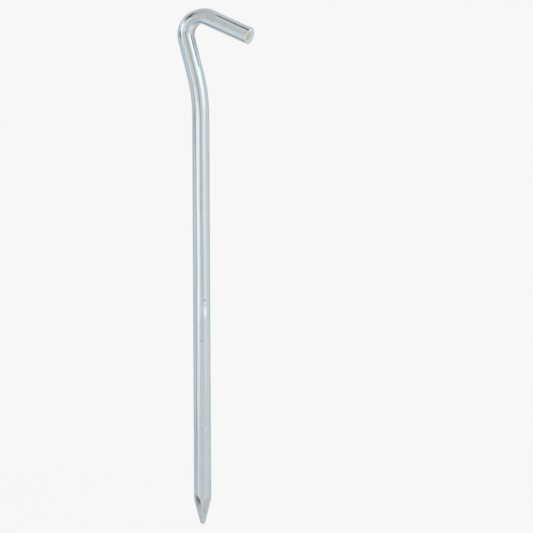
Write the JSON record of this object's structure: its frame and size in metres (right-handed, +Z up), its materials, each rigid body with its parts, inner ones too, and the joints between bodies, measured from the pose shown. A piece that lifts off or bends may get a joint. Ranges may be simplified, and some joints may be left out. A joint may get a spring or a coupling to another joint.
{
  "type": "tent stake",
  "caption": "Hook-top tent stake bent from one length of round zinc-plated steel wire, with a cranked neck and a pressed point.",
  "frame": {"origin": "on the shank's axis at the ground line, 38 mm below the top of the hook, just under the crank", "axes": "+Z up along the shank, -Z toward the point; +X the way the hook's arm points; the hook lies in the XZ plane"},
  "size_m": [0.0284, 0.0064, 0.1778],
  "materials": {
    "zinc_plated_steel": "bright zinc with a faint blue passivation"
  },
  "bodies": {
    "root": {"stake": "zinc_plated_steel"}
  },
  "joints": []
}
